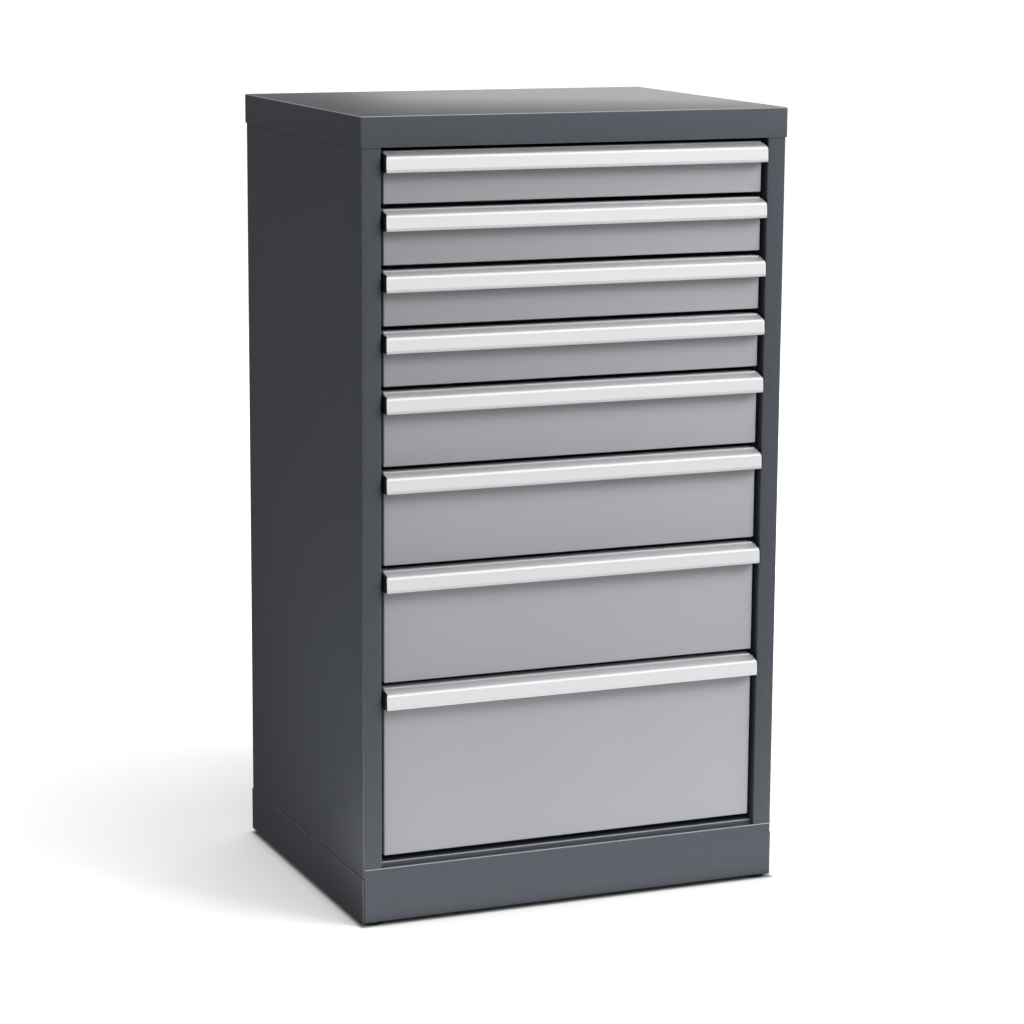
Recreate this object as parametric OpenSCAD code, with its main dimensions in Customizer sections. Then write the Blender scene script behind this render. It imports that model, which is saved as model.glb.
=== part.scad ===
// Industrial drawer cabinet: folded sheet body, eight telescopic drawers with full-width grip strips.
// Frame: origin on the floor under the middle of the overall box, +Z up, the drawers face -Y.

/* [Cabinet] */
// Width over the top cover
cabinet_w = 578; // [500:1:750]
// Depth from the grip strips' faces to the back of the top cover
cabinet_d = 461; // [450:1:700]
// Height of the top cover's skirt
cover_h = 38; // [30:1:60]
// Height of the plinth's front cover above the floor
plinth_h = 75; // [75:1:120]
// Gap between the floor and the plinth's side and back walls
floor_gap = 4; // [3:0.5:6]

/* [Drawers] */
// Grid height of each of the four shallow drawers
shallow_h = 75; // [75:25:125]
// Grid height of the fifth drawer
fifth_h = 100; // [75:25:200]
// Grid height of the sixth drawer
sixth_h = 125; // [75:25:200]
// Grid height of the seventh drawer
seventh_h = 150; // [75:25:250]
// Grid height of the bottom drawer
bottom_h = 225; // [75:25:300]
// Gap between neighbouring fronts
front_gap = 6.5; // [4:0.5:7]
// How far the fronts sit behind the posts
front_recess = 7; // [5:0.5:10]

/* [Grip strips] */
// How far a grip strip stands out from its drawer front
grip_out = 16; // [14:0.5:18]
// Height of a grip strip, from its top to its lower edge
grip_h = 24; // [22:0.5:26]
// Thickness of each black end cap
cap_t = 1.5; // [0.8:0.1:2]

/* [Slides] */
// Length of every slide member
rail_l = 400; // [350:10:400]
// Height of the fixed slide member
rail_h = 35; // [35:1:40]
// Room for one slide between an upright and a drawer tray
rail_w = 13; // [12.7:0.1:14]

/* [Levelling feet] */
// Diameter of a foot's pad
pad_d = 30; // [24:1:30]
// Diameter of a foot's stud
stud_d = 10; // [8:1:12]
// How far a foot can be screwed out
foot_travel = 12; // [8:1:15]

/* [Hidden] */
$fn = 48;
eps = 0.01;

// Sheet thicknesses
sheet = 1.5;
thin_sheet = 1;

// Plan of the body
cover_proud = 1.5;
plinth_proud = 1;
fit_gap = 0.5;
grip_ahead = grip_out - front_recess - cover_proud;
body_x = cabinet_w / 2 - cover_proud;
cover_front_y = -cabinet_d / 2 + grip_ahead;
post_y = cover_front_y + cover_proud;
body_back_y = cabinet_d / 2 - cover_proud;
post_w = 25;
post_return = 22;
opening_x = body_x - post_w;
panel_flange = 20;

// Plinth
plinth_x = body_x + plinth_proud;
plinth_back_y = body_back_y + plinth_proud;
plinth_flange = 18;
plinth_front_in = 2.5;
plinth_front_rise = 1.5;
plinth_front_x = plinth_x - plinth_front_in;
plinth_front_z0 = floor_gap + plinth_front_rise;
side_drop = 13;
side_plinth_h = plinth_h - side_drop;
seam = 1;
panel_z = side_plinth_h + seam;
plate_z = 30;
plate_t = 5;
plate_l = 37;

// Heights of the drawer grid, from its base up
sill_rise = 5.5;
grid_rise = 2.5;
sill_z = plinth_h + sill_rise;
grid_z = sill_z + grid_rise;
heights = [shallow_h, shallow_h, shallow_h, shallow_h, fifth_h, sixth_h, seventh_h, bottom_h];
drawers = len(heights);
function stack(n) = n > drawers ? 0 : heights[n - 1] + stack(n + 1);
grid_top_z = grid_z + stack(1);
cabinet_h = grid_top_z + cover_h;

// Drawer fronts and trays
face_y = post_y + front_recess;
front_d = 18;
side_gap = 5.5;
front_x = opening_x - side_gap;
top_gap = 5;
front_drop = 1;
rail_in = 3;
tray_end = 2;
tray_rise = 4;
tray_drop = 8;
tray_x = opening_x - rail_w;
tray_y0 = face_y + front_d;
tray_y1 = tray_y0 + rail_in + rail_l + tray_end;
function front_z0(n) = grid_z + stack(n + 1) + front_gap - front_drop;
function front_z1(n) = grid_z + stack(n) - (n == 1 ? top_gap : front_drop);
function tray_z0(n) = front_z0(n) + tray_rise;
function tray_z1(n) = front_z1(n) - tray_drop;

// Slides
rail_y0 = tray_y0 + rail_in;
rail_rise = 22;
rail_step = 6;
function rail_z(n) = tray_z0(n) + rail_rise;
middle_h = rail_h - rail_step;
inner_h = middle_h - rail_step;
rail_t = 1.5;
fixed_flange = 9;
middle_in = 3;
middle_flange = 7;
inner_flange = 6;

// Uprights that carry the slides
upright_w = 30;
upright_ahead = 2;
upright_in = 8;
upright_y0 = [rail_y0 - upright_ahead, rail_y0 + rail_l - upright_in - upright_w];

// Grip strip section, forwards of the face (u) and upwards from the front's top edge (v)
grip_t = 2;
lip = 1.5;
top_a = 15;
crest_r = 4.5;
grip_overhang = 1.5;
grip_x = front_x + grip_overhang;
lean = 0.8;
grip_v1 = -lip - grip_h;
flange_v = -20;
tip_r = 0.8;
tip_back = 0.3;
tip_u = grip_out - tip_back;
groove_v = grip_v1 + 3;
groove_d = 0.5;
groove_h = 0.8;
crest_u = grip_out - lean - crest_r;
crest_c = [crest_u, -lip - crest_u * tan(top_a) - crest_r / cos(top_a)];
under_v = -lip - grip_t * tan(top_a) - grip_t / cos(top_a);
root_v = under_v - 3;
cap_foot = 1;
plug_v = -12;
plug_l = 6;
plug_u = 8.5;

// Levelling feet
foot_inset = 17;
foot_x = plinth_x - foot_inset;
foot_y = [post_y + foot_inset, plinth_back_y - foot_inset];
pad_h = 7;
pad_chamfer = 1;
pad_side_h = 4;
hex_af = 17;
hex_h = 7;
stud_spare = 8;
stud_top = plate_z + plate_t + foot_travel + stud_spare;
stud_fit = 0.08;

part_names = ["tray", "front", "handle", "end_caps", "rails"];
cabinet_nodes = ["top_cover", "left_side_panel", "right_side_panel", "back_panel", "floor_pan",
    "plinth_front", "plinth_surround", "cabinet_rails", "foot_front_left", "foot_front_right",
    "foot_back_left", "foot_back_right"];
drawer_nodes = [for (n = [1:drawers]) for (part = part_names) str("drawer_", n, "_", part)];
slide_nodes = [for (n = [1:drawers]) str("slide_", n, "_middle_rails")];

anthracite = [0.22, 0.24, 0.26];
silver_grey = [0.60, 0.61, 0.63];
aluminium = [0.85, 0.86, 0.88];
zinc = [0.68, 0.70, 0.72];
black = [0.06, 0.06, 0.06];

// A box between two opposite corners
module block(low, high) {
    translate(low)
        cube(high - low);
}

// Both a shape and its mirror image in the cabinet's middle plane
module both_sides() {
    children();
    mirror([1, 0, 0])
        children();
}

// ---- Grip strip section ----

// Points on a circular arc from angle a0 to a1
function arc(c, r, a0, a1, n) =
    [for (i = [0:n]) let (a = a0 + (a1 - a0) * i / n) [c[0] + r * cos(a), c[1] + r * sin(a)]];

// Points on a quadratic curve from p to q that bends towards m, without its end points
function bend(p, m, q, n) =
    [for (i = [1:n - 1]) let (t = i / n) (1 - t) * (1 - t) * p + 2 * t * (1 - t) * m + t * t * q];

crest_points = arc(crest_c, crest_r, 90 - top_a, 0, 10);
groove_points = [
    [grip_out, groove_v + groove_h],
    [grip_out - groove_d, groove_v + groove_h / 2],
    [grip_out - tip_back / 3, groove_v]];
tip_points = concat(
    arc([tip_u - tip_r, grip_v1 + tip_r], tip_r, 0, -90, 4),
    arc([tip_u - grip_t + tip_r, grip_v1 + tip_r], tip_r, -90, -180, 4));
under_points = arc(crest_c, crest_r - grip_t, 0, 90 - top_a, 8);
root_points = concat(
    bend(under_points[8], [grip_t, under_v], [grip_t, root_v], 4),
    [[grip_t, root_v], [grip_t, flange_v], [0, flange_v]]);

grip_section = concat([[0, -lip]], crest_points, groove_points, tip_points, under_points, root_points);
cap_section = concat([[0, -lip]], crest_points, [[tip_u, grip_v1], [cap_foot, grip_v1], [0, flange_v]]);
plug_section = [[grip_t, flange_v], [grip_t, plug_v], [plug_u, plug_v], [plug_u, flange_v]];

// A section drawn in (u, v), run along X between two planes
module along_x(section, x0, x1, z) {
    translate([x0, face_y, z])
        rotate([90, 0, 90])
            linear_extrude(x1 - x0)
                mirror([1, 0])
                    polygon(section);
}

// ---- Cabinet body ----

module top_cover() {
    cx = cabinet_w / 2;
    color(anthracite)
        difference() {
            block([-cx, cover_front_y, grid_top_z], [cx, cabinet_d / 2, cabinet_h]);
            block([-body_x, post_y, grid_top_z - 1], [body_x, body_back_y, cabinet_h - sheet]);
        }
}

// Channel welded to the side sheet, open towards it
module upright(y0) {
    wall_x = body_x - sheet;
    difference() {
        block([-wall_x, y0, sill_z], [-opening_x, y0 + upright_w, grid_top_z]);
        block([-wall_x - 1, y0 + sheet, sill_z - 1],
            [-opening_x - sheet, y0 + upright_w - sheet, grid_top_z + 1]);
    }
}

module side_panel() {
    top_z = cabinet_h - sheet;
    color(anthracite)
        union() {
            block([-body_x, post_y, panel_z], [-body_x + sheet, body_back_y, top_z]);
            block([-body_x, post_y, panel_z], [-opening_x, post_y + sheet, top_z]);
            block([-opening_x - sheet, post_y, panel_z],
                [-opening_x, post_y + post_return, top_z]);
            block([-body_x, body_back_y - sheet, panel_z],
                [-body_x + panel_flange, body_back_y, top_z]);
            block([-body_x, post_y + post_return, top_z - sheet],
                [-body_x + panel_flange, body_back_y, top_z]);
            for (y0 = upright_y0)
                upright(y0);
        }
}

module left_side_panel() {
    side_panel();
}

module right_side_panel() {
    mirror([1, 0, 0])
        side_panel();
}

module back_panel() {
    y1 = body_back_y - sheet;
    x = body_x - sheet;
    color(anthracite)
        block([-x, y1 - thin_sheet, panel_z], [x, y1, cabinet_h - 2 * sheet]);
}

module floor_pan() {
    x = body_x - sheet;
    y_sill = face_y + 2 * fit_gap;
    y_mid = post_y + post_return + fit_gap;
    y_back = body_back_y - sheet - thin_sheet;
    color(anthracite)
        difference() {
            union() {
                block([-x, y_mid, side_plinth_h], [x, y_back, sill_z]);
                block([-opening_x, y_sill, side_plinth_h], [opening_x, y_mid, sill_z]);
            }
            block([-x + sheet, y_mid + sheet, side_plinth_h - 1],
                [x - sheet, y_back - sheet, sill_z - sheet]);
            block([-opening_x + sheet, y_sill + sheet, side_plinth_h - 1],
                [opening_x - sheet, y_mid + 2 * sheet, sill_z - sheet]);
        }
}

module plinth_front() {
    ledge_x = opening_x - fit_gap;
    color(anthracite)
        union() {
            block([-plinth_front_x, cover_front_y, plinth_front_z0], [plinth_front_x, post_y, plinth_h]);
            block([-ledge_x, post_y, plinth_h - sheet], [ledge_x, face_y + fit_gap, plinth_h]);
        }
}

// Corner plate of the plinth, bored for a foot's stud
module corner_plate(y, back) {
    y0 = back ? plinth_back_y - sheet - plate_l : post_y + sheet;
    x0 = plinth_x - sheet;
    difference() {
        block([-x0, y0, plate_z], [-x0 + plate_l, y0 + plate_l, plate_z + plate_t]);
        translate([-foot_x, y, plate_z - 1])
            cylinder(d = stud_d + 2 * stud_fit, h = plate_t + 2);
    }
}

module plinth_side() {
    x = plinth_x;
    top = side_plinth_h;
    block([-x, post_y, floor_gap], [-x + sheet, plinth_back_y, top]);
    block([-x, post_y, floor_gap], [-x + plinth_flange, post_y + sheet, top]);
    block([-x, post_y, top - sheet], [-x + plinth_flange, plinth_back_y, top]);
    corner_plate(foot_y[0], false);
    corner_plate(foot_y[1], true);
}

module plinth_surround() {
    x = plinth_x;
    color(anthracite)
        union() {
            both_sides()
                plinth_side();
            block([-x, plinth_back_y - sheet, floor_gap], [x, plinth_back_y, side_plinth_h]);
            block([-x, plinth_back_y - plinth_flange, side_plinth_h - sheet],
                [x, plinth_back_y, side_plinth_h]);
        }
}

// ---- Levelling feet ----

pad_profile = [[0, 0], [pad_d / 2 - pad_chamfer, 0], [pad_d / 2, pad_chamfer],
    [pad_d / 2, pad_side_h], [hex_af / 2 + 1, pad_h], [0, pad_h]];

module foot(x, y) {
    color(black)
        translate([x, y, 0])
            union() {
                rotate_extrude()
                    polygon(pad_profile);
                translate([0, 0, pad_h - eps])
                    cylinder(d = hex_af / cos(30), h = hex_h, $fn = 6);
                translate([0, 0, pad_h])
                    cylinder(d = stud_d, h = stud_top - pad_h);
            }
}

// ---- Slides ----

// Channel with its web towards -X at x0, its flanges reaching w towards +X
module channel(x0, w, h, y0, z) {
    difference() {
        block([x0, y0, z - h / 2], [x0 + w, y0 + rail_l, z + h / 2]);
        block([x0 + rail_t, y0 - 1, z - h / 2 + rail_t],
            [x0 + w + 1, y0 + rail_l + 1, z + h / 2 - rail_t]);
    }
}

module cabinet_rails() {
    color(zinc)
        for (n = [1:drawers])
            both_sides()
                channel(-opening_x, fixed_flange, rail_h, rail_y0, rail_z(n));
}

module middle_rails(n) {
    color(zinc)
        both_sides()
            channel(-opening_x + middle_in, middle_flange, middle_h, rail_y0, rail_z(n));
}

// The drawer's own member: its web lies on the tray, its flanges reach outwards
module drawer_rails(n) {
    color(zinc)
        both_sides()
            mirror([1, 0, 0])
                channel(tray_x, inner_flange, inner_h, rail_y0, rail_z(n));
}

// ---- Drawers ----

module drawer_tray(n) {
    x = tray_x;
    t = thin_sheet;
    color(silver_grey)
        difference() {
            block([-x, tray_y0, tray_z0(n)], [x, tray_y1, tray_z1(n)]);
            block([-x + t, tray_y0 + t, tray_z0(n) + t], [x - t, tray_y1 - t, tray_z1(n) + 1]);
        }
}

module drawer_front(n) {
    x = front_x;
    color(silver_grey)
        difference() {
            block([-x, face_y, front_z0(n)], [x, face_y + front_d, front_z1(n)]);
            block([-x + sheet, face_y + sheet, front_z0(n) + sheet],
                [x - sheet, face_y + front_d + 1, front_z1(n) - sheet]);
        }
}

module drawer_handle(n) {
    color(aluminium)
        along_x(grip_section, -grip_x, grip_x, front_z1(n));
}

// A thin end plate with a plug that fills the end of the strip's hollow
module drawer_end_caps(n) {
    color(black)
        both_sides()
            union() {
                along_x(cap_section, grip_x, grip_x + cap_t, front_z1(n));
                along_x(plug_section, grip_x - plug_l, grip_x + cap_t / 2, front_z1(n));
            }
}

// ---- Assembly ----

top_cover();
left_side_panel();
right_side_panel();
back_panel();
floor_pan();
plinth_front();
plinth_surround();
cabinet_rails();
foot(-foot_x, foot_y[0]);  // foot_front_left
foot(foot_x, foot_y[0]);  // foot_front_right
foot(-foot_x, foot_y[1]);  // foot_back_left
foot(foot_x, foot_y[1]);  // foot_back_right
for (n = [1:drawers]) {
    drawer_tray(n);
    drawer_front(n);
    drawer_handle(n);
    drawer_end_caps(n);
    drawer_rails(n);
    middle_rails(n);
}
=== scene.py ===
import math

import bmesh
import bpy
from mathutils import Matrix, Vector


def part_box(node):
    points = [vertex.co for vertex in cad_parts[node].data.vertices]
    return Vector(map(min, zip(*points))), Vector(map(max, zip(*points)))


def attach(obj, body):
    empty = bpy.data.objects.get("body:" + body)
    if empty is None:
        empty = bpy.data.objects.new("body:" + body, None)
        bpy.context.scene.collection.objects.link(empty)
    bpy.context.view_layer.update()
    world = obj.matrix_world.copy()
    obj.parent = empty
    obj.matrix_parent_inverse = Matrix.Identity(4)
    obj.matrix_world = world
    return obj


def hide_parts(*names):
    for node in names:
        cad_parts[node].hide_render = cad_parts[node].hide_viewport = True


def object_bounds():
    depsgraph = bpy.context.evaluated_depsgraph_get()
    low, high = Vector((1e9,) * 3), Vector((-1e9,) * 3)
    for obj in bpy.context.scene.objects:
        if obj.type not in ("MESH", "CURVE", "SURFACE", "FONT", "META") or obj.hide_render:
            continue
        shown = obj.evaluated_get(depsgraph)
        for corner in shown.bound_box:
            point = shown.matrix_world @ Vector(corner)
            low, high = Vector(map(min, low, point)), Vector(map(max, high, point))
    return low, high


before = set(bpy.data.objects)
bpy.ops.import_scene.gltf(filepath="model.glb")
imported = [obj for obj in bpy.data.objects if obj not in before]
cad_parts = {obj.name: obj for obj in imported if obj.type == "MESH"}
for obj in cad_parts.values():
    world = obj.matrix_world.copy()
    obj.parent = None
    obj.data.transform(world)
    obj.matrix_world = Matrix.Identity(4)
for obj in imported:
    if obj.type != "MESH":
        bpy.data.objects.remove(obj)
CAD_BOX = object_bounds()

MM = 0.001
DRAWERS = range(1, 9)
SIDES = (-1, 1)
FEET = ("foot_front_left", "foot_front_right", "foot_back_left", "foot_back_right")

# Sheet thicknesses and bend radii, in metres
SHEET = 1.5 * MM
THIN_SHEET = 1.0 * MM
COVER_BEND = 1.7 * MM
BODY_BEND = 1.7 * MM
FRONT_BEND = 1.6 * MM
TRAY_BEND = 2.0 * MM
RAIL_BEND = 1.6 * MM
CUT_EDGE = 0.25 * MM
GRID_STEP = 25 * MM

# How finely round shapes are divided, the steepest angle that is still shaded smooth, and the
# distance below which two places are the same
CIRCLE_STEPS = 16
BEND_STEPS = 5
PIN_STEPS = 8
SMOOTH_ANGLE = math.radians(32)
TINY = 1e-7


# ---------------------------------------------------------------------------
# Materials
# ---------------------------------------------------------------------------

BUMP_HEIGHT = 0.1 * MM


class Nodes:
    """A short way to build one material's node tree."""

    def __init__(self, name):
        self.material = bpy.data.materials.new(name)
        self.material.use_nodes = True
        self.tree = self.material.node_tree
        self.shader = self.tree.nodes["Principled BSDF"]
        self.position = self.add("ShaderNodeTexCoord").outputs["Object"]

    def add(self, kind, **settings):
        node = self.tree.nodes.new(kind)
        for key, value in settings.items():
            setattr(node, key, value)
        return node

    def link(self, source, target):
        self.tree.links.new(source, target)

    def noise(self, scale, detail=2.0, roughness=0.5, stretch=(1, 1, 1)):
        """Noise from about 0.3 to 0.7, with its scale changed along X, Y and Z by stretch."""
        mapping = self.add("ShaderNodeMapping")
        mapping.inputs["Scale"].default_value = stretch
        self.link(self.position, mapping.inputs["Vector"])
        node = self.add("ShaderNodeTexNoise")
        node.inputs["Scale"].default_value = scale
        node.inputs["Detail"].default_value = detail
        node.inputs["Roughness"].default_value = roughness
        self.link(mapping.outputs["Vector"], node.inputs["Vector"])
        return node.outputs["Fac"]

    def spread(self, value, low, high, start=0.3, end=0.7):
        """The value's range from start to end carried to low and high, and held there."""
        node = self.add("ShaderNodeMapRange")
        node.inputs["From Min"].default_value = start
        node.inputs["From Max"].default_value = end
        node.inputs["To Min"].default_value = low
        node.inputs["To Max"].default_value = high
        self.link(value, node.inputs["Value"])
        return node.outputs["Result"]

    def mix(self, factor, a, b):
        node = self.add("ShaderNodeMix", data_type="RGBA")
        for socket, value in ((node.inputs[0], factor), (node.inputs[6], a), (node.inputs[7], b)):
            if isinstance(value, bpy.types.NodeSocket):
                self.link(value, socket)
            elif socket.type == "RGBA":
                socket.default_value = (*value, 1.0)
            else:
                socket.default_value = value
        return node.outputs[2]

    def maths(self, operation, a, b):
        node = self.add("ShaderNodeMath", operation=operation)
        for socket, value in zip(node.inputs, (a, b)):
            if isinstance(value, bpy.types.NodeSocket):
                self.link(value, socket)
            else:
                socket.default_value = value
        return node.outputs[0]

    def edge(self, radius):
        """1 on a rounded or sharp outer edge, fading to 0 on flat ground."""
        bevel = self.add("ShaderNodeBevel", samples=6)
        bevel.inputs["Radius"].default_value = radius
        geometry = self.add("ShaderNodeNewGeometry")
        dot = self.add("ShaderNodeVectorMath", operation="DOT_PRODUCT")
        self.link(bevel.outputs["Normal"], dot.inputs[0])
        self.link(geometry.outputs["Normal"], dot.inputs[1])
        turn = self.maths("SUBTRACT", 1.0, dot.outputs["Value"])
        return self.spread(turn, 0.0, 1.0, 0.02, 0.35)

    def fold_highlight(self, sideways):
        """A painted highlight mask: 1 on a fold whose outside looks up, where light from above
        would catch it, sideways on the others and 0 on flat faces.
        """
        normal = self.add("ShaderNodeNewGeometry").outputs["Normal"]
        askew = self.add("ShaderNodeVectorMath", operation="ABSOLUTE")
        self.link(normal, askew.inputs[0])
        parts = self.add("ShaderNodeSeparateXYZ")
        self.link(askew.outputs["Vector"], parts.inputs[0])
        widest = self.maths("MAXIMUM", parts.outputs[0], parts.outputs[1])
        widest = self.maths("MAXIMUM", widest, parts.outputs[2])
        height = self.add("ShaderNodeSeparateXYZ")
        self.link(normal, height.inputs[0])
        on_fold = self.spread(widest, 1.0, 0.0, 0.86, 0.985)
        looks_up = self.spread(height.outputs["Z"], sideways, 1.0, 0.1, 0.5)
        return self.maths("MULTIPLY", on_fold, looks_up)

    def bump(self, heights):
        """heights is a list of (value, strength), the coarse first."""
        normal = None
        for value, strength in heights:
            node = self.add("ShaderNodeBump")
            node.inputs["Strength"].default_value = strength
            node.inputs["Distance"].default_value = BUMP_HEIGHT
            self.link(value, node.inputs["Height"])
            if normal is not None:
                self.link(normal, node.inputs["Normal"])
            normal = node.outputs["Normal"]
        self.link(normal, self.shader.inputs["Normal"])

    def set(self, **values):
        """Constants on the shader's sockets, named with _ for a space."""
        for key, value in values.items():
            self.shader.inputs[key.replace("_", " ")].default_value = value

    def color(self, value):
        self.link(value, self.shader.inputs["Base Color"])

    def roughness(self, value):
        self.link(value, self.shader.inputs["Roughness"])


def scaled(color, factor):
    return tuple(c * factor for c in color)


def powder_coat(name, base, pale, rough, grain, highlight_strength):
    """Baked powder paint: a mottled grain, orange peel, and a painted highlight that makes the
    edges paler and a little smoother, most of all the folds that look up.
    """
    m = Nodes(name)
    fine = m.noise(620.0, detail=3.0, roughness=0.6)
    peel = m.noise(800.0, detail=1.0)
    cloud = m.noise(4.0, detail=3.0)
    tone = m.mix(m.spread(fine, 0.0, 1.0), scaled(base, 1 - grain), scaled(base, 1 + grain))
    tone = m.mix(m.spread(cloud, 0.0, 0.35), tone, scaled(base, 1.1))
    # Painted highlight: folds that look up, and more faintly all edges, turn towards the pale tone
    # as if they caught the light.
    highlight_mask = m.maths("MAXIMUM", m.fold_highlight(0.15), m.maths("MULTIPLY", m.edge(1.0 * MM), 0.4))
    tone = m.mix(m.maths("MULTIPLY", highlight_mask, highlight_strength), tone, pale)
    m.color(tone)
    grained = m.spread(fine, rough - 0.04, rough + 0.05)
    m.roughness(m.maths("SUBTRACT", grained, m.maths("MULTIPLY", highlight_mask, 0.14)))
    m.bump([(peel, 0.16), (fine, 0.10)])
    m.set(IOR=1.5)
    return m.material


def anodised(name, base):
    """Extruded, anodised aluminium: a silky sheen with faint drawing lines along X."""
    m = Nodes(name)
    lines = m.noise(2400.0, detail=2.0, roughness=0.5, stretch=(0.0006, 1, 1))
    cloud = m.noise(9.0, detail=2.0)
    tone = m.mix(m.spread(lines, 0.0, 1.0), scaled(base, 0.992), base)
    tone = m.mix(m.spread(cloud, 0.0, 0.2), tone, scaled(base, 0.95))
    m.color(tone)
    m.roughness(m.spread(lines, 0.41, 0.43))
    m.set(Metallic=0.7)
    return m.material


def zinc(name, base):
    """Bright zinc plate on rolled steel: cloudy spangle and drawing lines along Y."""
    m = Nodes(name)
    spangle = m.noise(160.0, detail=2.0, roughness=0.4)
    lines = m.noise(1100.0, detail=3.0, stretch=(1, 0.01, 1))
    tone = m.mix(m.spread(spangle, 0.0, 1.0), scaled(base, 0.82), base)
    # Painted highlight: the edges turn paler, as if their rounding caught the light.
    tone = m.mix(m.maths("MULTIPLY", m.edge(0.6 * MM), 0.5), tone, (0.85, 0.86, 0.87))
    m.color(tone)
    m.roughness(m.spread(lines, 0.28, 0.42))
    m.bump([(lines, 0.08), (spangle, 0.05)])
    m.set(Metallic=1.0)
    return m.material


def moulded(name, base, rough=0.42):
    """Moulded plastic with a fine spark-eroded grain and paler edges, a painted highlight on their
    rounding.
    """
    m = Nodes(name)
    grain = m.noise(1400.0, detail=2.0)
    cloud = m.noise(60.0, detail=2.0)
    tone = m.mix(m.spread(cloud, 0.0, 0.5), base, scaled(base, 1.6))
    # Painted highlight: the edges turn paler, as if their rounding caught the light.
    tone = m.mix(m.maths("MULTIPLY", m.edge(0.5 * MM), 0.35), tone, scaled(base, 2.5))
    m.color(tone)
    m.roughness(m.spread(grain, rough - 0.06, rough + 0.08))
    m.bump([(grain, 0.22)])
    m.set(Specular_IOR_Level=0.2)
    return m.material


# Each paint's second colour is the pale tone of its painted edge highlight.
ANTHRACITE = powder_coat("anthracite_powder", (0.055, 0.0615, 0.0755), (0.34, 0.36, 0.39),
                         rough=0.43, grain=0.26, highlight_strength=0.9)
SILVER_GREY = powder_coat("silver_grey_powder", (0.350, 0.354, 0.372), (0.60, 0.605, 0.62),
                          rough=0.42, grain=0.03, highlight_strength=0.6)
ALUMINIUM = anodised("anodised_aluminium", (0.90, 0.905, 0.92))
ZINC = zinc("zinc_plate", (0.66, 0.68, 0.70))
BLACK = moulded("black_moulding", (0.010, 0.010, 0.011))
PAD_BLACK = moulded("black_foot_pad", (0.014, 0.014, 0.015), rough=0.5)


# ---------------------------------------------------------------------------
# Mesh building
# ---------------------------------------------------------------------------

def shade(mesh):
    """Smooth faces, with a crease where two of them meet at more than SMOOTH_ANGLE."""
    for face in mesh.polygons:
        face.use_smooth = True
    mesh.set_sharp_from_angle(angle=SMOOTH_ANGLE)


def new_object(name, bm, material):
    """The mesh in bm as a scene object."""
    bmesh.ops.recalc_face_normals(bm, faces=bm.faces)
    mesh = bpy.data.meshes.new(name)
    bm.to_mesh(mesh)
    bm.free()
    shade(mesh)
    mesh.materials.append(material)
    obj = bpy.data.objects.new(name, mesh)
    bpy.context.scene.collection.objects.link(obj)
    return obj


def soften(obj, width=CUT_EDGE, angle=40):
    """Breaks the sharp edges that the tools left."""
    bevel = obj.modifiers.new("cut_edges", "BEVEL")
    bevel.width = width
    bevel.segments = 2
    bevel.limit_method = "ANGLE"
    bevel.angle_limit = math.radians(angle)
    bevel.harden_normals = True
    return obj


def belongs(obj, body, slot, *nodes):
    """The piece moves with its body and stands for the CAD nodes; slot is not used."""
    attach(obj, body)
    if nodes:
        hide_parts(*nodes)
    return obj


def placed(axis, along, a, b):
    """A point of a section that runs along an axis: its two other coordinates are a and b."""
    return {"x": (along, a, b), "y": (a, along, b), "z": (a, b, along)}[axis]


def add_band(bm, one, two):
    """Faces between two rings of the same number of vertices."""
    for i in range(len(one)):
        j = (i + 1) % len(one)
        bm.faces.new((one[i], one[j], two[j], two[i]))


def add_skin(bm, rings):
    """A closed body through a row of rings, with a flat face at each end."""
    for one, two in zip(rings, rings[1:]):
        add_band(bm, one, two)
    bm.faces.new(rings[0][::-1])
    bm.faces.new(rings[-1])


def add_extrusion(bm, outline, axis, start, end):
    """A closed outline carried from start to end along an axis."""
    add_skin(bm, [[bm.verts.new(placed(axis, s, a, b)) for a, b in outline] for s in (start, end)])


def add_block(bm, low, high):
    """A box between two opposite corners."""
    outline = [(low[0], low[1]), (high[0], low[1]), (high[0], high[1]), (low[0], high[1])]
    add_extrusion(bm, outline, "z", low[2], high[2])


def arc(centre, radius, start, end, steps):
    """Points on a circular arc, angles in degrees."""
    points = []
    for i in range(steps + 1):
        a = math.radians(start + (end - start) * i / steps)
        points.append((centre[0] + radius * math.cos(a), centre[1] + radius * math.sin(a)))
    return points


def circle(centre, radius):
    """Points right round a circle."""
    last = 360 * (1 - 1 / CIRCLE_STEPS)
    return arc(centre, radius, 0, last, CIRCLE_STEPS - 1)


def rounded(points, radius):
    """An open line whose inner corners are rounded."""
    line = [Vector(points[0])]
    for before, corner, after in zip(points, points[1:], points[2:]):
        corner = Vector(corner)
        to_before = (Vector(before) - corner).normalized()
        to_after = (Vector(after) - corner).normalized()
        half = to_before.angle(to_after) / 2
        centre = corner + (to_before + to_after).normalized() * radius / math.sin(half)
        first = corner + to_before * radius / math.tan(half)
        last = corner + to_after * radius / math.tan(half)
        for i in range(BEND_STEPS + 1):
            spoke = (first - centre).lerp(last - centre, i / BEND_STEPS)
            line.append(centre + spoke.normalized() * radius)
    line.append(Vector(points[-1]))
    return line


def folded(points, thickness, radius, side):
    """The outline of a folded sheet: points run along its outer face, the inner one is at side."""
    line = rounded(points, radius)
    inner = []
    for i, point in enumerate(line):
        before, after = line[max(i - 1, 0)], line[min(i + 1, len(line) - 1)]
        one = (point - before).normalized() if i else (after - point).normalized()
        two = (after - point).normalized() if i < len(line) - 1 else one
        tangent = (one + two).normalized()
        normal = Vector((-tangent.y, tangent.x)) * side
        inner.append(point + normal * thickness / max(tangent.dot(one), 0.2))
    return [tuple(p) for p in line] + [tuple(p) for p in reversed(inner)]


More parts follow.
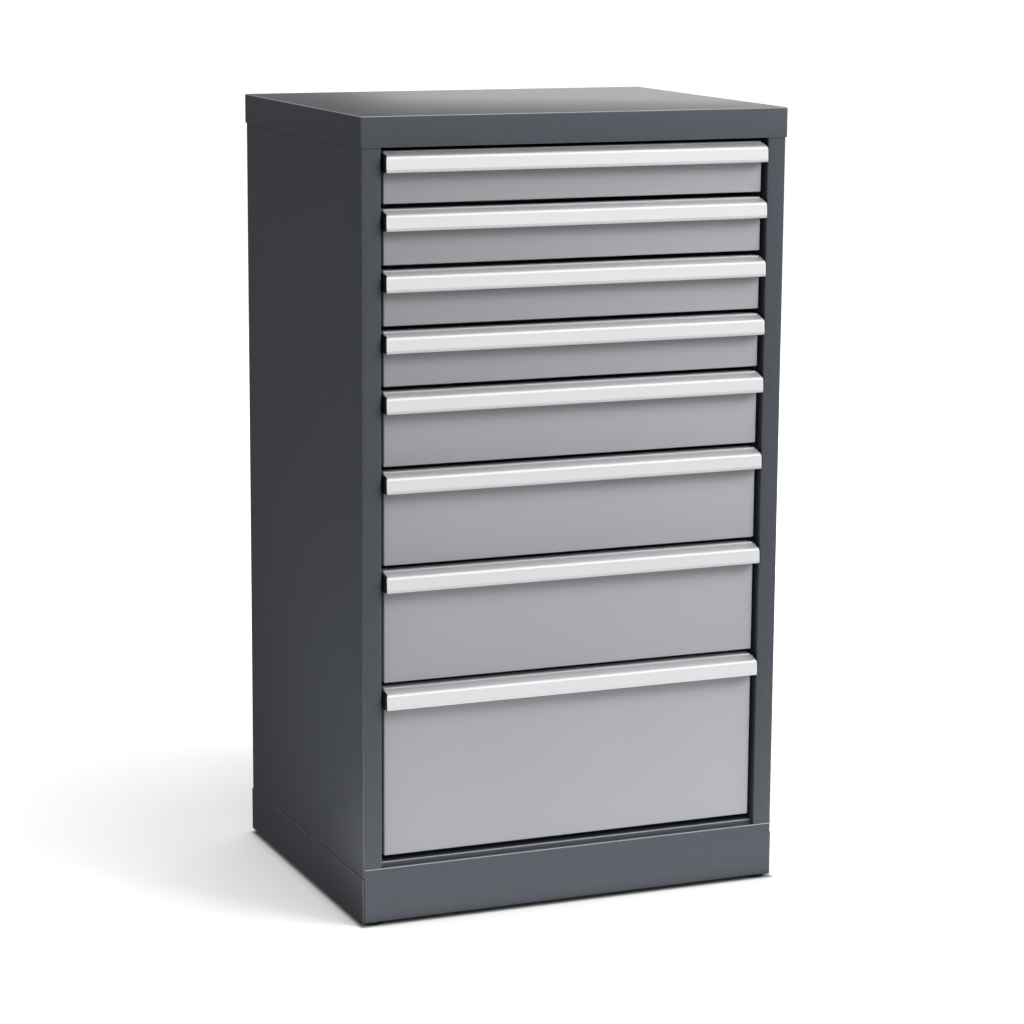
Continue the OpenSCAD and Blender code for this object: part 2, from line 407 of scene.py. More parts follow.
def pan(name, low, high, open_side, bend, thickness, material):
    """A folded pan with rounded bends, open on one side, such as "-z" or "+y"."""
    bm = bmesh.new()
    add_block(bm, low, high)
    axis = "xyz".index(open_side[1])
    target = high[axis] if open_side[0] == "+" else low[axis]
    lid = [f for f in bm.faces if all(abs(v.co[axis] - target) < TINY for v in f.verts)]
    bmesh.ops.delete(bm, geom=lid, context="FACES_ONLY")
    bends = [e for e in bm.edges if len(e.link_faces) == 2]
    bmesh.ops.bevel(bm, geom=bends, offset=bend, segments=4, profile=0.5, affect="EDGES")
    obj = new_object(name, bm, material)
    solid = obj.modifiers.new("sheet", "SOLIDIFY")
    solid.thickness = thickness
    solid.offset = -1
    solid.use_even_offset = True
    return soften(obj, angle=60)


def add_ring(bm, profile, low, high):
    """A closed profile of (inset, height) carried round the inside of a rectangle, mitred."""
    corners = ((low.x, low.y, 1, 1), (high.x, low.y, -1, 1),
               (high.x, high.y, -1, -1), (low.x, high.y, 1, -1))
    rings = []
    for x, y, sx, sy in corners:
        rings.append([bm.verts.new((x + sx * d, y + sy * d, z)) for d, z in profile])
    for one, two in zip(rings, rings[1:] + rings[:1]):
        add_band(bm, one, two)


def add_stadium(bm, centre, length, width, axis, run, depth):
    """A slot-shaped pin along an axis: run says along which axis the slot is long."""
    half = (length - width) / 2
    line = [(half + x, y) for x, y in arc((0, 0), width / 2, 90, -90, PIN_STEPS)]
    line += [(-half + x, y) for x, y in arc((0, 0), width / 2, -90, -270, PIN_STEPS)]
    axes = [k for k in "xyz" if k != axis]
    if run == axes[1]:
        line = [(b, a) for a, b in line]
    at = [centre["xyz".index(k)] for k in axes]
    along = centre["xyz".index(axis)]
    line = list(dict.fromkeys((round(a + at[0], 7), round(b + at[1], 7)) for a, b in line))
    add_extrusion(bm, line, axis, along - depth / 2, along + depth / 2)


def cut(obj, cutter_bm):
    """Takes the shape in cutter_bm away from a mesh."""
    cutter = new_object("cutter", cutter_bm, obj.data.materials[0])
    boolean = obj.modifiers.new("cut", "BOOLEAN")
    boolean.operation = "DIFFERENCE"
    boolean.solver = "EXACT"
    boolean.object = cutter
    evaluated = obj.evaluated_get(bpy.context.evaluated_depsgraph_get())
    result = bpy.data.meshes.new_from_object(evaluated)
    obj.modifiers.clear()
    obj.data = result
    cutter_mesh = cutter.data
    bpy.data.objects.remove(cutter)
    bpy.data.meshes.remove(cutter_mesh)
    shade(result)
    return obj


# ---------------------------------------------------------------------------
# Camera, floor and light
# ---------------------------------------------------------------------------

# The floor's painted contact shadow, a dark footprint, stops this far inside the CAD box at front
# and back, and the floor lies a little below the feet
FOOTPRINT_INSET = 9 * MM
FLOOR_DROP = 0.3 * MM


def make_camera():
    """A long lens, left of the front and a little above it, with a slight roll."""
    azimuth, elevation, roll = (math.radians(a) for a in (22.69, 11.13, 0.38))
    level = math.cos(elevation)
    forward = Vector((math.sin(azimuth) * level, math.cos(azimuth) * level, -math.sin(elevation)))
    right = forward.cross(Vector((0, 0, 1))).normalized()
    up = right.cross(forward)
    turned_right = right * math.cos(roll) + up * math.sin(roll)
    turned_up = up * math.cos(roll) - right * math.sin(roll)
    data = bpy.data.cameras.new("camera")
    data.lens = 110.4
    data.sensor_width = 36.0
    data.clip_end = 100
    camera = bpy.data.objects.new("camera", data)
    rotation = Matrix((turned_right, turned_up, -forward)).transposed().to_4x4()
    camera.matrix_world = Matrix.Translation((-1.583, -3.798, 1.2845)) @ rotation
    bpy.context.scene.collection.objects.link(camera)
    bpy.context.scene.camera = camera


def make_floor():
    """A pale floor with painted shade and light: its colour is dark inside the cabinet's footprint,
    a painted contact shadow, and its glow, a painted light, grows with the distance from it.
    """
    bm = bmesh.new()
    bmesh.ops.create_grid(bm, x_segments=1, y_segments=1, size=30)
    m = Nodes("pale_floor")
    m.set(Roughness=0.9, Specular_IOR_Level=0.1, Emission_Color=(1, 1, 1, 1))
    outside = m.add("ShaderNodeVectorMath", operation="ABSOLUTE")
    m.link(m.position, outside.inputs[0])
    beyond = m.add("ShaderNodeVectorMath", operation="SUBTRACT")
    m.link(outside.outputs["Vector"], beyond.inputs[0])
    beyond.inputs[1].default_value = (CAD_BOX[1].x, CAD_BOX[1].y - FOOTPRINT_INSET, 0)
    clipped = m.add("ShaderNodeVectorMath", operation="MAXIMUM")
    m.link(beyond.outputs["Vector"], clipped.inputs[0])
    distance = m.add("ShaderNodeVectorMath", operation="LENGTH")
    m.link(clipped.outputs["Vector"], distance.inputs[0])
    away = distance.outputs["Value"]
    paper = m.mix(m.spread(m.noise(2.0), 0.0, 1.0), (0.90, 0.90, 0.90), (0.92, 0.92, 0.92))
    # Painted contact shadow: the floor's colour is dark under the cabinet and turns to the paper's
    # colour within 5 mm of the footprint.
    m.color(m.mix(m.spread(away, 0.0, 1.0, 0.0, 0.005), (0.32, 0.32, 0.33), paper))
    # Painted light: the floor glows a little from the footprint's edge and more further away, so
    # that the shade round the cabinet fades out.
    near = m.spread(away, 0.0, 0.17, 0.0, 0.015)
    far = m.spread(away, 0.0, 0.6, 0.12, 1.5)
    m.link(m.maths("ADD", near, far), m.shader.inputs["Emission Strength"])
    floor = new_object("floor", bm, m.material)
    floor.location.z = CAD_BOX[0].z - FLOOR_DROP
    floor.visible_glossy = False
    floor.visible_diffuse = False


def area_light(name, place, target, size, power, color=(1, 1, 1), glossy=True):
    data = bpy.data.lights.new(name, "AREA")
    data.shape = "RECTANGLE"
    data.size, data.size_y = size
    data.energy = power
    data.color = color
    light = bpy.data.objects.new(name, data)
    light.location = place
    light.rotation_mode = "QUATERNION"
    light.rotation_quaternion = (Vector(target) - Vector(place)).to_track_quat("-Z", "Y")
    light.visible_camera = False
    light.visible_glossy = glossy
    bpy.context.scene.collection.objects.link(light)


def make_world():
    """A white studio: soft lobes of light, each a direction, a spread in degrees and a colour."""
    lobes = (
        ((0.15, -0.82, 0.57), 50, (1.15, 1.15, 1.15)),
        ((0.10, -1.00, -0.14), 30, (0.36, 0.36, 0.36)),
        ((0.80, -0.75, 0.12), 40, (0.32, 0.32, 0.32)),
        ((1.00, -0.20, 0.00), 50, (0.40, 0.40, 0.40)),
        ((0.00, 0.00, 1.00), 40, (0.40, 0.40, 0.40)),
        ((0.45, 0.85, 0.10), 40, (0.30, 0.27, 0.24)),
    )
    base = (0.06, 0.06, 0.06)
    world = bpy.data.worlds.new("studio")
    bpy.context.scene.world = world
    world.use_nodes = True
    tree = world.node_tree
    tree.nodes.clear()
    direction = tree.nodes.new("ShaderNodeTexCoord").outputs["Generated"]
    total = None
    for axis, spread, colour in lobes:
        dot = tree.nodes.new("ShaderNodeVectorMath")
        dot.operation = "DOT_PRODUCT"
        dot.inputs[1].default_value = Vector(axis).normalized()
        tree.links.new(direction, dot.inputs[0])
        fall = tree.nodes.new("ShaderNodeMapRange")
        fall.interpolation_type = "SMOOTHSTEP"
        fall.inputs["From Min"].default_value = math.cos(math.radians(spread))
        fall.inputs["From Max"].default_value = 1.0
        tree.links.new(dot.outputs["Value"], fall.inputs["Value"])
        lobe = tree.nodes.new("ShaderNodeVectorMath")
        lobe.operation = "MULTIPLY_ADD"
        lobe.inputs[1].default_value = colour
        lobe.inputs[2].default_value = base
        tree.links.new(fall.outputs["Result"], lobe.inputs[0])
        if total is not None:
            tree.links.new(total, lobe.inputs[2])
        total = lobe.outputs["Vector"]
    light = tree.nodes.new("ShaderNodeBackground")
    tree.links.new(total, light.inputs["Color"])
    shown = tree.nodes.new("ShaderNodeBackground")
    shown.inputs["Color"].default_value = (1, 1, 1, 1)
    either = tree.nodes.new("ShaderNodeMixShader")
    out = tree.nodes.new("ShaderNodeOutputWorld")
    tree.links.new(tree.nodes.new("ShaderNodeLightPath").outputs["Is Camera Ray"], either.inputs[0])
    tree.links.new(light.outputs[0], either.inputs[1])
    tree.links.new(shown.outputs[0], either.inputs[2])
    tree.links.new(either.outputs[0], out.inputs["Surface"])


def make_lights():
    area_light("key", (1.9, -2.1, 2.6), (0.0, -0.2, 0.6), (1.8, 1.4), 81, glossy=False)
    area_light("right_fill", (1.3, -1.0, 1.0), (0.2, -0.2, 0.6), (0.5, 0.5), 3.4, glossy=False)
    area_light("back_panel_glow", (3.05, 4.0, 1.5), (0.25, 0.2, 1.0), (3.6, 1.6), 49,
               (1.0, 0.97, 0.93))
    area_light("floor_bounce", (0.0, -0.485, 0.003), (0.0, -0.485, 1.0), (1.9, 0.5), 2.9)
    area_light("left_bounce", (-0.75, -0.25, 0.003), (-0.75, -0.25, 1.0), (0.6, 0.7), 2.8)
    area_light("left_fill", (-3.0, 0.2, 1.0), (0.0, 0.1, 0.5), (1.6, 2.0), 33,
               (1.0, 0.94, 0.87), glossy=False)
    area_light("top_fill", (-0.6, 0.9, 4.2), (0.0, 0.3, 0.0), (3.0, 3.0), 65, glossy=False)


bpy.context.scene.view_settings.view_transform = "Standard"
make_camera()
make_floor()
make_world()
make_lights()


# ---------------------------------------------------------------------------
# Cabinet body
# ---------------------------------------------------------------------------

# Flanges of the side panels, and the spot welds down the rear one
POST_RETURN = 22 * MM
REAR_FLANGE = 20 * MM
WELDS = 8
WELD_INSET = 11 * MM
WELD_MARK = ((3.2 * MM, 0.0), (2.6 * MM, 0.16 * MM), (1.9 * MM, 0.04 * MM))

# Upright channels, and the slots in them
FRONT_CHANNEL_LEAD = 2 * MM
REAR_CHANNEL_LEAD = 38 * MM
CHANNEL_WIDTH = 30 * MM
SLOT_COLUMNS = (9 * MM, 21 * MM)
SLOT_LENGTH = 14 * MM
SLOT_WIDTH = 4 * MM
SLOT_START = 0.55

# The floor's sill between the posts, and the notches that clear them
SILL_GAP = 0.3 * MM
SILL_RETURN = 12 * MM
SILL_OVERLAP = 2 * MM
NOTCH_DEPTH = 22.5 * MM

# The plinth's flanges and its corner plates; a welded plate reaches a little into the wall
PLINTH_FLANGE = 18 * MM
PLATE_INSET = SHEET * 0.9
PLATE_SIZE = 37 * MM
PLATE_BOTTOM = 30 * MM
PLATE_TOP = 35 * MM
STUD_BORE = 10.2 * MM


def make_top_cover():
    low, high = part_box("top_cover")
    cover = pan("top_cover_shell", low, high, "-z", COVER_BEND, SHEET, ANTHRACITE)
    belongs(cover, "cabinet", "anthracite_paint", "top_cover")


def side_panel_outline(low, high, side):
    """Plan of the side panel at -X or +X: post return, post, side wall and rear flange."""
    outer = low.x if side < 0 else high.x
    inner = high.x if side < 0 else low.x
    points = [(inner, low.y + POST_RETURN), (inner, low.y), (outer, low.y), (outer, high.y),
              (outer - side * REAR_FLANGE, high.y)]
    return folded(points, SHEET, BODY_BEND, side)


def make_side_panel(node, side):
    low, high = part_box(node)
    bm = bmesh.new()
    add_extrusion(bm, side_panel_outline(low, high, side), "z", low.z, high.z)
    outer = low.x if side < 0 else high.x
    for i in range(WELDS):
        z = low.z + (high.z - low.z) * (i + 0.5) / WELDS
        add_weld(bm, (outer - side * WELD_INSET, high.y, z))
    panel = soften(new_object(node + "_sheet", bm, ANTHRACITE))
    belongs(panel, "cabinet", "anthracite_paint", node)


def add_weld(bm, centre):
    """The faint round mark of a spot weld on a face that looks to +Y."""
    rings = []
    for radius, rise in WELD_MARK:
        line = circle((centre[0], centre[2]), radius)
        rings.append([bm.verts.new((x, centre[1] + rise, z)) for x, z in line])
    add_skin(bm, rings)


def make_uprights(node, side):
    """Channels inside a side panel, pierced with rows of slots that the slides hook into."""
    low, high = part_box(node)
    inner = high.x if side < 0 else low.x
    wall = (low.x if side < 0 else high.x) - side * SHEET
    rails_low, rails_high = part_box("cabinet_rails")
    foot_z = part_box("floor_pan")[1].z
    top_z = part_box("top_cover")[0].z
    bm = bmesh.new()
    cutter = bmesh.new()
    for y in (rails_low.y - FRONT_CHANNEL_LEAD, rails_high.y - REAR_CHANNEL_LEAD):
        back = y + CHANNEL_WIDTH
        channel = [(wall, y), (inner, y), (inner, back), (wall, back)]
        add_extrusion(bm, folded(channel, SHEET, BODY_BEND, -side), "z", foot_z, top_z)
        for i in range(int((top_z - foot_z) / GRID_STEP)):
            z = foot_z + GRID_STEP * (i + SLOT_START)
            for across in SLOT_COLUMNS:
                centre = (inner, y + across, z)
                add_stadium(cutter, centre, SLOT_LENGTH, SLOT_WIDTH, "x", "z", depth=6 * MM)
    uprights = cut(new_object(node + "_uprights", bm, ANTHRACITE), cutter)
    belongs(soften(uprights, width=0.2 * MM), "cabinet", "anthracite_paint")


def make_back_panel():
    low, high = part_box("back_panel")
    bm = bmesh.new()
    add_block(bm, low, high)
    panel = soften(new_object("back_panel_sheet", bm, ANTHRACITE), width=0.3 * MM)
    belongs(panel, "cabinet", "anthracite_paint", "back_panel")


def make_floor_pan():
    """The floor with its sill folded down in front and a flange folded down at each side."""
    low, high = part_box("floor_pan")
    post_low, post_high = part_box("left_side_panel")
    side_x = high.x
    sill_x = -post_high.x - SILL_GAP
    notch_y = post_low.y + NOTCH_DEPTH
    bm = bmesh.new()
    sill = [(notch_y + SILL_OVERLAP, high.z), (low.y, high.z), (low.y, low.z),
            (low.y + SILL_RETURN, low.z)]
    add_extrusion(bm, folded(sill, SHEET, COVER_BEND, 1), "x", -sill_x, sill_x)
    floor = [(-side_x, low.z), (-side_x, high.z), (side_x, high.z), (side_x, low.z)]
    add_extrusion(bm, folded(floor, SHEET, BODY_BEND, -1), "y", notch_y, high.y)
    sheet = soften(new_object("floor_pan_sheet", bm, ANTHRACITE))
    belongs(sheet, "cabinet", "anthracite_paint", "floor_pan")


def make_plinth_front():
    """The front cover of the plinth, with its top edge folded back."""
    low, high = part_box("plinth_front")
    bm = bmesh.new()
    outline = [(high.y, high.z), (low.y, high.z), (low.y, low.z)]
    add_extrusion(bm, folded(outline, SHEET, COVER_BEND, 1), "x", low.x, high.x)
    sheet = soften(new_object("plinth_front_sheet", bm, ANTHRACITE))
    belongs(sheet, "cabinet", "anthracite_paint", "plinth_front")


def make_plinth_surround():
    """The plinth's left, back and right walls, flanged inwards at the front and along the top."""
    low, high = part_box("plinth_surround")
    bm = bmesh.new()
    flange = PLINTH_FLANGE
    ring = [(low.x + flange, low.y), (low.x, low.y), (low.x, high.y),
            (high.x, high.y), (high.x, low.y), (high.x - flange, low.y)]
    add_extrusion(bm, folded(ring, SHEET, BODY_BEND, -1), "z", low.z, high.z)
    under, back = high.z - SHEET, high.y - PLATE_INSET
    for side in SIDES:
        x0, x1 = sorted((side * (high.x - PLATE_INSET), side * (high.x - flange)))
        add_block(bm, (x0, low.y + SHEET, under), (x1, back, high.z))
    add_block(bm, (low.x + flange, high.y - flange, under), (high.x - flange, back, high.z))
    sheet = soften(new_object("plinth_surround_sheet", bm, ANTHRACITE))
    belongs(sheet, "cabinet", "anthracite_paint", "plinth_surround")


def make_corner_plates():
    """Thick plates in the plinth's corners, each with a bore for a foot's stud."""
    low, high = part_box("plinth_surround")
    wall_x, back_y = high.x - PLATE_INSET, high.y - PLATE_INSET
    bm = bmesh.new()
    cutter = bmesh.new()
    for node in FEET:
        foot_low, foot_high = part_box(node)
        middle = (foot_low + foot_high) / 2
        side = -1 if middle.x < 0 else 1
        y0 = low.y + SHEET if middle.y < 0 else back_y - PLATE_SIZE
        x0, x1 = sorted((side * wall_x, side * (wall_x - PLATE_SIZE)))
        add_block(bm, (x0, y0, PLATE_BOTTOM), (x1, y0 + PLATE_SIZE, PLATE_TOP))
        centre = (middle.x, middle.y, (PLATE_BOTTOM + PLATE_TOP) / 2)
        add_stadium(cutter, centre, STUD_BORE + 0.06 * MM, STUD_BORE, "z", "x", depth=8 * MM)
    plates = cut(new_object("plinth_corner_plates", bm, ANTHRACITE), cutter)
    belongs(soften(plates, width=0.4 * MM), "cabinet", "anthracite_paint")


# ---------------------------------------------------------------------------
# Levelling feet
# ---------------------------------------------------------------------------

# The pad's rim in millimetres: how far in from its widest radius, and how far up
PAD_RIM = ((1.0, 0.0), (0.3, 0.3), (0.0, 1.0), (0.6, 1.6), (0.0, 2.2), (0.6, 3.2), (0.0, 3.8),
           (0.4, 4.3), (5.5, 7.0))
PAD_HEIGHT = 7 * MM
NUT_FLATS = 17 * MM
NUT_HEIGHT = 7 * MM
THREAD_PITCH = 1.5 * MM
THREAD_CORE = 4.3 * MM
THREAD_CREST = 5.0 * MM
STUD_CHAMFER = 0.5 * MM


def add_turned(bm, profile, centre, steps=48):
    """A profile of (radius, height) turned about a vertical axis."""
    rings = []
    for r, z in profile:
        if r < TINY:
            rings.append([bm.verts.new((centre[0], centre[1], z))])
            continue
        ring = []
        for i in range(steps):
            a = 2 * math.pi * i / steps
            ring.append(bm.verts.new((centre[0] + r * math.cos(a), centre[1] + r * math.sin(a), z)))
        rings.append(ring)
    for lower, upper in zip(rings, rings[1:]):
        for i in range(steps):
            j = (i + 1) % steps
            quad = (lower[i % len(lower)], lower[j % len(lower)],
                    upper[j % len(upper)], upper[i % len(upper)])
            corners = list(dict.fromkeys(quad))
            if len(corners) > 2:
                bm.faces.new(corners)


def make_foot(node):
    """A ribbed pad, with a hexagon nut and a threaded stud that stand on it."""
    low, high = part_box(node)
    centre = ((low.x + high.x) / 2, (low.y + high.y) / 2)
    radius = (high.x - low.x) / 2
    pad_top = low.z + PAD_HEIGHT
    bm = bmesh.new()
    rim = [(radius - inset * MM, low.z + rise * MM) for inset, rise in PAD_RIM]
    add_turned(bm, [(0, low.z), *rim, (0, pad_top)], centre)
    belongs(new_object(node + "_pad", bm, PAD_BLACK), node, "foot_plastic", node)

    bm = bmesh.new()
    nut_top = pad_top + NUT_HEIGHT
    add_extrusion(bm, arc(centre, NUT_FLATS / math.sqrt(3), 0, 300, 5), "z", pad_top, nut_top)
    core, crest, pitch = THREAD_CORE, THREAD_CREST, THREAD_PITCH
    thread = [(0, nut_top - 1 * MM), (core, nut_top - 1 * MM)]
    turns = int((high.z - 1.2 * MM - nut_top) / pitch)
    for turn in range(turns):
        z = nut_top + turn * pitch
        thread += [(core, z), (crest, z + pitch * 0.45), (crest, z + pitch * 0.55),
                   (core, z + pitch)]
    thread += [(core, high.z - STUD_CHAMFER), (core - STUD_CHAMFER, high.z), (0, high.z)]
    add_turned(bm, thread, centre, steps=28)
    belongs(soften(new_object(node + "_stud", bm, ZINC), width=0.3 * MM), node, "slide_steel")


# ---------------------------------------------------------------------------
# Telescopic slides
# ---------------------------------------------------------------------------

FIXED_RAIL_WIDTH = 9 * MM
MIDDLE_RAIL_WIDTH = 7 * MM
DRAWER_RAIL_WIDTH = 6 * MM
FIXED_RAIL_HALF_HEIGHT = 17.5 * MM

# Holes in the rails' webs: share of the rail's length, and how long each is
HOLE_WIDTH = 4.4 * MM
ROUND, SLOT, LONG_SLOT = 4.5 * MM, 9 * MM, 14 * MM
FIXED_HOLES = ((0.05, ROUND), (0.13, SLOT), (0.30, ROUND), (0.37, SLOT), (0.62, SLOT),
               (0.93, ROUND))
MIDDLE_HOLES = ((0.03, ROUND), (0.22, LONG_SLOT), (0.45, LONG_SLOT), (0.70, LONG_SLOT),
                (0.96, ROUND))
DRAWER_HOLES = ((0.08, ROUND), (0.16, SLOT), (0.40, SLOT), (0.64, SLOT), (0.88, ROUND))

# Rivets between the tray and the drawer's rail
RIVET_SHARES = (0.26, 0.52, 0.76)
RIVET_RADIUS = 3.2 * MM
RIVET_HEIGHT = 1.3 * MM
DOME_RINGS = (1.0, 0.92, 0.7, 0.4)


def add_rail(bm, web, tips, z0, z1, y0, y1, side):
    """One rolled channel along Y between its web and the tips of its flanges."""
    turn = side if web > tips else -side
    channel = [(side * tips, z0), (side * web, z0), (side * web, z1), (side * tips, z1)]
    add_extrusion(bm, folded(channel, SHEET, RAIL_BEND, turn), "y", y0, y1)


def pierce(cutter, x, y0, y1, z, side, pattern):
    """Holes and slots along a rail's web: the pattern holds (share of the length, slot length)."""
    for share, length in pattern:
        centre = (side * x, y0 + (y1 - y0) * share, z)
        add_stadium(cutter, centre, length, HOLE_WIDTH, "x", "y", depth=5 * MM)


def add_dome(bm, centre, radius, height, side):
    """A rivet's domed head on a web that looks to +X or -X."""
    rings = []
    for share in DOME_RINGS:
        x = centre[0] + side * height * math.sqrt(max(1 - share ** 2, 0.0))
        line = circle((centre[1], centre[2]), radius * share)
        rings.append([bm.verts.new((x, y, z)) for y, z in line])
    add_skin(bm, rings)


def make_fixed_rails():
    """The sixteen members that hang in the uprights, at the height of each drawer's own rails."""
    low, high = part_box("cabinet_rails")
    bm = bmesh.new()
    cutter = bmesh.new()
    for n in DRAWERS:
        inner_low, inner_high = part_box(f"drawer_{n}_rails")
        z = (inner_low.z + inner_high.z) / 2
        for side in SIDES:
            add_rail(bm, high.x, high.x - FIXED_RAIL_WIDTH, z - FIXED_RAIL_HALF_HEIGHT,
                     z + FIXED_RAIL_HALF_HEIGHT, low.y, high.y, side)
            pierce(cutter, high.x, low.y, high.y, z, side, FIXED_HOLES)
    rails = cut(new_object("cabinet_rails_steel", bm, ZINC), cutter)
    belongs(soften(rails, width=0.2 * MM), "cabinet", "slide_steel", "cabinet_rails")


def make_moving_rails(n):
    """A slide's middle members, webs outwards, and the drawer's, webs on the tray and riveted."""
    for node, body, width, outwards, holes in (
            (f"slide_{n}_middle_rails", f"slide_{n}", MIDDLE_RAIL_WIDTH, True, MIDDLE_HOLES),
            (f"drawer_{n}_rails", f"drawer_{n}", DRAWER_RAIL_WIDTH, False, DRAWER_HOLES)):
        low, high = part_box(node)
        z = (low.z + high.z) / 2
        web, tips = (high.x, high.x - width) if outwards else (high.x - width, high.x)
        bm = bmesh.new()
        cutter = bmesh.new()
        for side in SIDES:
            add_rail(bm, web, tips, low.z, high.z, low.y, high.y, side)
            pierce(cutter, web, low.y, high.y, z, side, holes)
        rails = soften(cut(new_object(node + "_steel", bm, ZINC), cutter), width=0.2 * MM)
        belongs(rails, body, "slide_steel", node)
    rivets = bmesh.new()
    for side in SIDES:
        for share in RIVET_SHARES:
            y = low.y + (high.y - low.y) * share
            add_dome(rivets, (side * (web + SHEET), y, z), RIVET_RADIUS, RIVET_HEIGHT, side)
    belongs(new_object(f"drawer_{n}_rivets", rivets, ZINC), f"drawer_{n}", "slide_steel")


# ---------------------------------------------------------------------------
# Drawers
# ---------------------------------------------------------------------------

# Section of the grip strip: its sloping top starts LIP below the front's top edge
LIP = 1.5 * MM
TOP_ANGLE = 15
CREST_RADIUS = 4.5 * MM
LEAN = 0.8 * MM
ROOT_GROOVE = 0.7 * MM
WALL = 2.0 * MM
FLANGE = 20 * MM
TIP_RADIUS = 0.8 * MM
TIP_BACK = 0.15 * MM
GROOVE_RISE = 3.0 * MM
GROOVE_HEIGHT = 0.8 * MM
GROOVE_DEPTH = 0.5 * MM
CREST_STEPS = 16
CLEAR = 0.02 * MM

# Top and bottom corner radii at the strip's and the caps' ends; a top corner's cut fades out
# between two depths below the top. The caps' sections are given in millimetres from their ends.
STRIP_CORNERS = (2.2 * MM, 1.3 * MM)
CAP_CORNERS = (3.0 * MM, 1.8 * MM)
CAP_ROWS = (0.0, 0.15, 0.4, 0.9, 1.8, 3.0)
CAP_INSET = 0.12 * MM
FULL_CUT_DEPTH = 3 * MM
NO_CUT_DEPTH = 11 * MM
CORNER_STEPS = 6

# The tray's rolled hem
HEM_RADIUS = 1.15 * MM
HEM_CLEAR = 0.02 * MM
HEM_LEG = 6 * MM
HEM_ABOVE_WALL = 0.9 * MM


def bend_line(p, m, q, steps):
    """A quadratic curve from p to q that bends towards m, both ends included."""
    points = []
    for i in range(steps + 1):
        t = i / steps
        weights = ((1 - t) ** 2, 2 * t * (1 - t), t * t)
        points.append(tuple(sum(w * v for w, v in zip(weights, values)) for values in zip(p, m, q)))
    return points


def crest_line(reach):
    """The centre of the strip's rounded crest, and the crest from the sloping top to the face."""
    slope = math.radians(TOP_ANGLE)
    across = reach - LEAN - CREST_RADIUS
    centre = (across, -LIP - across * math.tan(slope) - CREST_RADIUS / math.cos(slope))
    return centre, arc(centre, CREST_RADIUS, 90 - TOP_ANGLE, 0, CREST_STEPS)


def grip_outline(reach, bottom):
    """The grip strip's section: forwards of the drawer front and upwards from its top edge."""
    slope = math.radians(TOP_ANGLE)
    centre, crest = crest_line(reach)
    groove = bottom + GROOVE_RISE
    top = [(0, -LIP - 1.2 * ROOT_GROOVE), (ROOT_GROOVE, -LIP - ROOT_GROOVE * math.tan(slope))]
    notch = [(reach, groove + GROOVE_HEIGHT), (reach - GROOVE_DEPTH, groove + GROOVE_HEIGHT / 2),
             (reach - TIP_BACK / 3, groove)]
    front = reach - TIP_BACK
    tip = arc((front - TIP_RADIUS, bottom + TIP_RADIUS), TIP_RADIUS, 0, -90, 5)
    tip += arc((front - WALL + TIP_RADIUS, bottom + TIP_RADIUS), TIP_RADIUS, -90, -180, 5)
    under = arc(centre, CREST_RADIUS - WALL, 0, 90 - TOP_ANGLE, CREST_STEPS)
    under_v = -LIP - WALL * math.tan(slope) - WALL / math.cos(slope)
    root = bend_line(under[-1], (WALL, under_v), (WALL, under_v - 3 * MM), 6)[1:]
    return top + crest + notch + tip + under + root + [(WALL, -FLANGE), (0, -FLANGE)]


def add_grip(bm, outline, y_root, z_top, stations, bottom):
    """Sections along X, each at a station of (x, top cut, bottom cut), which rounds the corners
    of what stands in front of the flange."""
    full_v, none_v = -LIP - FULL_CUT_DEPTH, -LIP - NO_CUT_DEPTH
    rings = []
    for x, cut_top, cut_bottom in stations:
        ring = []
        for u, v in outline:
            if u > WALL * 1.5:
                share = min(max((v - none_v) / (full_v - none_v), 0.0), 1.0)
                v = max(v - cut_top * share, bottom + cut_bottom)
            ring.append(bm.verts.new((x, y_root - u, z_top + v)))
        rings.append(ring)
    add_skin(bm, rings)


def corner_cut(radius, from_end):
    """How far a rounded corner has cut in, at a distance from the strip's end."""
    if from_end >= radius:
        return 0.0
    return radius - math.sqrt(max(radius ** 2 - (radius - from_end) ** 2, 0.0))


def station(end, side, inwards, corners):
    """A row of add_grip at a distance inwards from an end; corners are its top and bottom radii."""
    top, bottom = corners
    return side * (end - inwards), corner_cut(top, inwards), corner_cut(bottom, inwards)


def strip_stations(end):
    """Rows from the strip's -X end to its +X end, close together in the rounded corners."""
    angles = (math.pi / 2 * i / CORNER_STEPS for i in range(CORNER_STEPS + 1))
    near = [max(STRIP_CORNERS) * (1 - math.cos(a)) for a in angles]
    rows = [station(end, -1, d, STRIP_CORNERS) for d in near]
    return rows + [station(end, 1, d, STRIP_CORNERS) for d in reversed(near)]


def make_handle(n):
    low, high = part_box(f"drawer_{n}_handle")
    z_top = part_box(f"drawer_{n}_front")[1].z
    bottom = low.z - z_top
    outline = grip_outline(high.y - low.y - CLEAR, bottom)
    bm = bmesh.new()
    add_grip(bm, outline, high.y, z_top, strip_stations(high.x), bottom)
    grip = new_object(f"drawer_{n}_grip_strip", bm, ALUMINIUM)
    belongs(grip, f"drawer_{n}", "grip_aluminium", f"drawer_{n}_handle")


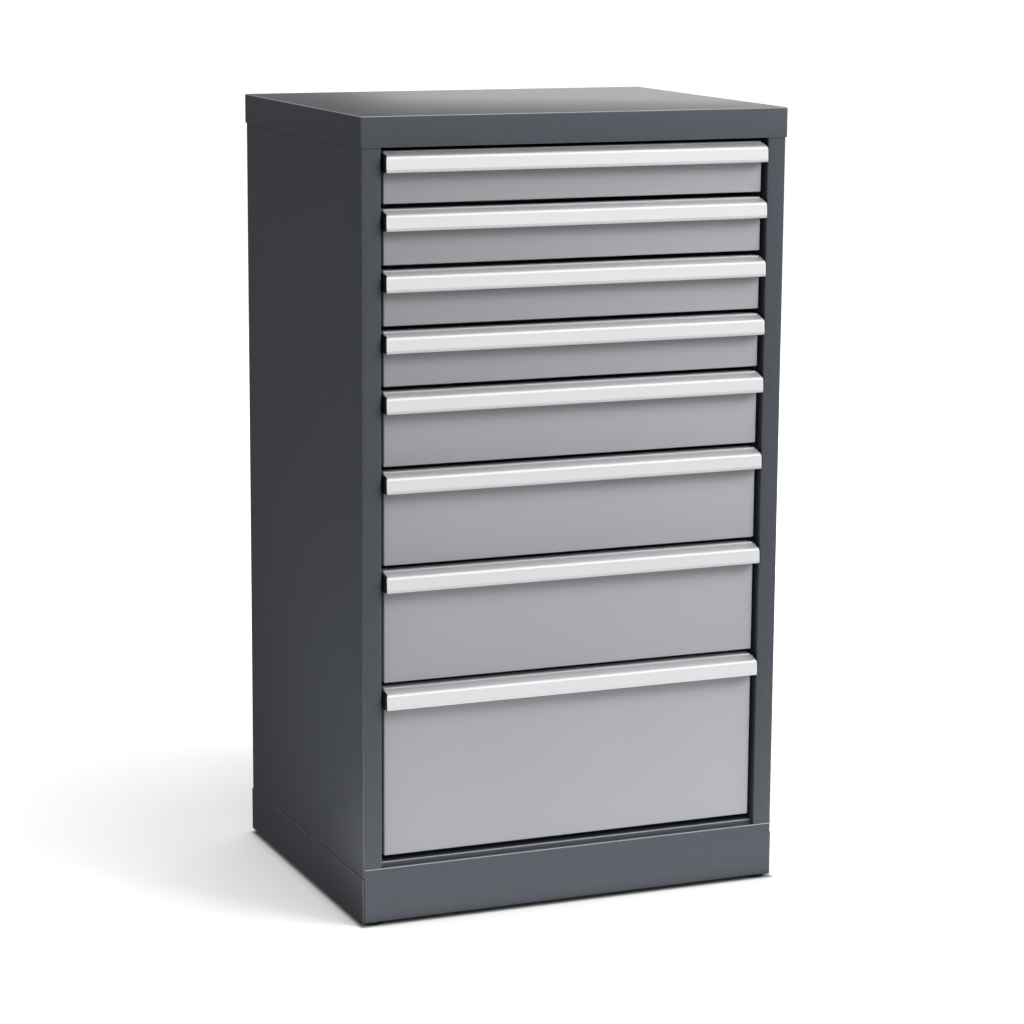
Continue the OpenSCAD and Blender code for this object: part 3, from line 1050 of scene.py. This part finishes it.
def make_end_caps(n):
    """Solid ends, set in a little from the strip's outside; their inner part closes its hollow."""
    low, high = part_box(f"drawer_{n}_end_caps")
    z_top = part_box(f"drawer_{n}_front")[1].z
    bottom = low.z - z_top + CAP_INSET
    reach = high.y - low.y - CAP_INSET
    outline = [(u, v - CAP_INSET) for u, v in [(0, -LIP)] + crest_line(reach)[1]]
    outline += [(reach - TIP_BACK, bottom), (1 * MM, bottom), (0, -FLANGE)]
    bm = bmesh.new()
    for side in SIDES:
        rows = [station(high.x, side, d * MM, CAP_CORNERS) for d in CAP_ROWS]
        add_grip(bm, outline, high.y, z_top, rows, bottom)
    caps = new_object(f"drawer_{n}_end_caps_plastic", bm, BLACK)
    belongs(caps, f"drawer_{n}", "cap_plastic", f"drawer_{n}_end_caps")


def make_front(n):
    low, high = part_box(f"drawer_{n}_front")
    front = pan(f"drawer_{n}_front_panel", low, high, "+y", FRONT_BEND, SHEET, SILVER_GREY)
    belongs(front, f"drawer_{n}", "front_paint", f"drawer_{n}_front")


def make_tray(n):
    """A folded tray whose walls end in a rolled hem."""
    low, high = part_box(f"drawer_{n}_tray")
    name = f"drawer_{n}_tray"
    wall_top = Vector((high.x, high.y, high.z - HEM_ABOVE_WALL))
    tray = pan(name + "_sheet", low, wall_top, "+z", TRAY_BEND, THIN_SHEET, SILVER_GREY)
    belongs(tray, f"drawer_{n}", "tray_paint", name)
    z = high.z - HEM_RADIUS
    middle = HEM_RADIUS + 0.15 * MM
    profile = arc((HEM_RADIUS, z), HEM_RADIUS - HEM_CLEAR, 180, 0, 8)
    profile += [(2 * HEM_RADIUS - HEM_CLEAR, z - HEM_LEG), (middle, z - HEM_LEG),
                (middle, z - 0.1 * MM), (HEM_CLEAR, z - 0.1 * MM)]
    bm = bmesh.new()
    add_ring(bm, profile, low, high)
    belongs(new_object(name + "_hem", bm, SILVER_GREY), f"drawer_{n}", "tray_paint")


make_top_cover()
for panel_node, panel_side in (("left_side_panel", -1), ("right_side_panel", 1)):
    make_side_panel(panel_node, panel_side)
    make_uprights(panel_node, panel_side)
make_back_panel()
make_floor_pan()
make_plinth_front()
make_plinth_surround()
make_corner_plates()
for foot in FEET:
    make_foot(foot)
make_fixed_rails()
for number in DRAWERS:
    make_moving_rails(number)
    make_tray(number)
    make_front(number)
    make_handle(number)
    make_end_caps(number)
